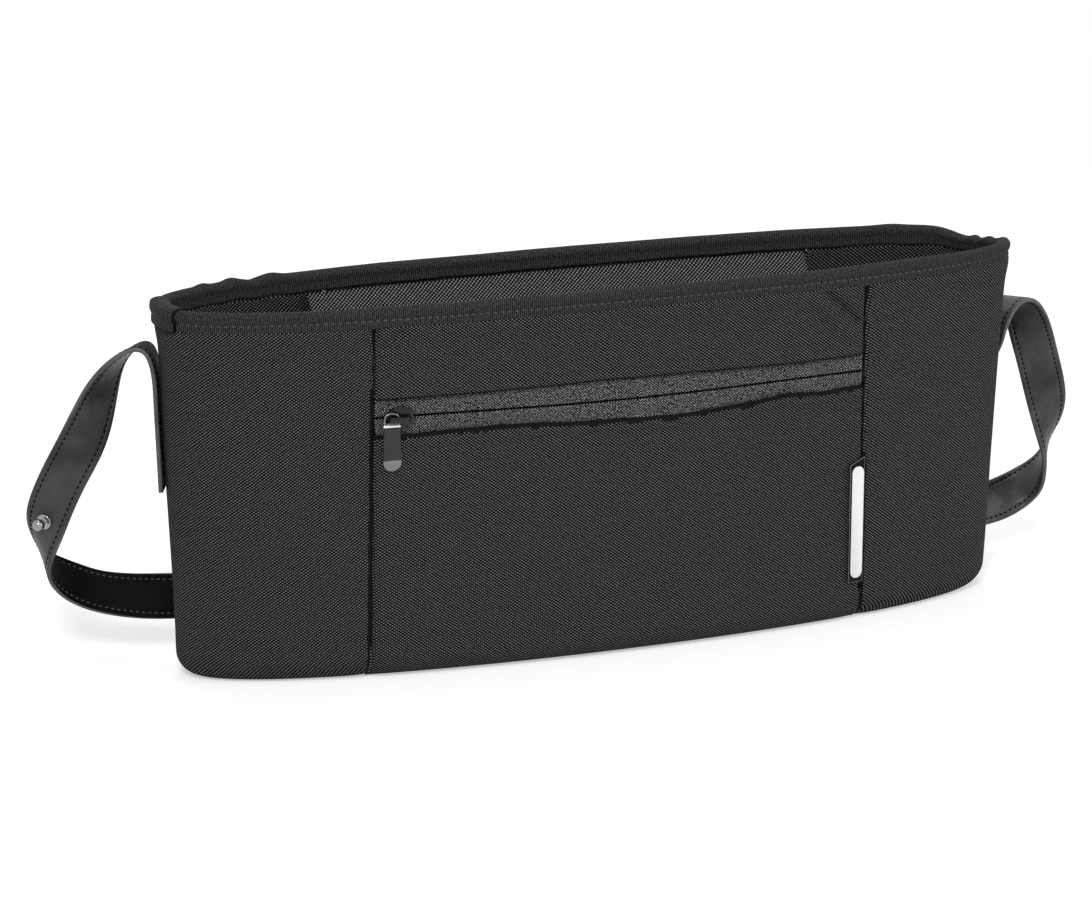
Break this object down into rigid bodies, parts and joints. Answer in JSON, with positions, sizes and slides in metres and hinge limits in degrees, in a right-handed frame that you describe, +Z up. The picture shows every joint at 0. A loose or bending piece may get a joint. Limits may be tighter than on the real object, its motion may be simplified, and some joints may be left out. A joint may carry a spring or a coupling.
{
  "type": "stroller organizer",
  "caption": "Long open-top fabric caddy with a ribbed bound rim, a zipped front pocket, divided compartments and leatherette hanging straps that loop round a stroller bar.",
  "frame": {"origin": "middle of the base, on the surface that the bag stands on", "axes": "+Z up, +X towards the right end seen from the zipped front, -Y towards the front"},
  "size_m": [0.5331, 0.0966, 0.178],
  "materials": {
    "shell_fabric": "two-tone charcoal basket weave",
    "inner_cloth": "dark woven lining",
    "ribbed_tape": "black grosgrain",
    "zip_tape": "fine woven zip tape",
    "nylon_coil": "black nylon",
    "black_metal": "polished black plating",
    "gunmetal": "dark satin plating",
    "bright_metal": "polished nickel",
    "gloss_black": "glossy black",
    "white_inlay": "plain white",
    "leatherette": "soft-sheen dark leatherette"
  },
  "bodies": {
    "bag": {"back_panel": "shell_fabric", "front_upper_panel": "shell_fabric", "front_lower_panel": "shell_fabric", "side_panel_left": "shell_fabric", "side_panel_right": "shell_fabric", "base_panel": "inner_cloth", "rim_binding": "ribbed_tape", "pocket_lining": "inner_cloth", "divider_left": "inner_cloth", "divider_right": "inner_cloth", "centre_lining": "inner_cloth", "zip_tape_upper": "zip_tape", "zip_tape_lower": "zip_tape", "zip_coil_upper": "nylon_coil", "zip_coil_lower": "nylon_coil", "label_tab": "gloss_black", "label_inlay": "white_inlay", "strap_left": "leatherette", "strap_right": "leatherette", "stud_left": "bright_metal"},
    "slider": {"slider_body": "black_metal"},
    "ring": {"pull_ring": "bright_metal"},
    "pull": {"pull_tab": "gunmetal"}
  },
  "joints": [
    {"name": "slider_travel", "type": "hinge", "parent": "bag", "child": "slider", "pos_m": [0, 1.37009, 0.126], "axis": [0, 0, 1], "range_deg": [0, 8.9]},
    {"name": "ring_swing", "type": "hinge", "parent": "slider", "child": "ring", "pos_m": [-0.11092, -0.0419, 0.126], "axis": [0, 0, 1], "range_deg": [0, 90]},
    {"name": "pull_swing", "type": "hinge", "parent": "ring", "child": "pull", "pos_m": [-0.11411, -0.04164, 0.123], "axis": [-0.9966, 0.0822, 0], "range_deg": [0, 90]}
  ]
}
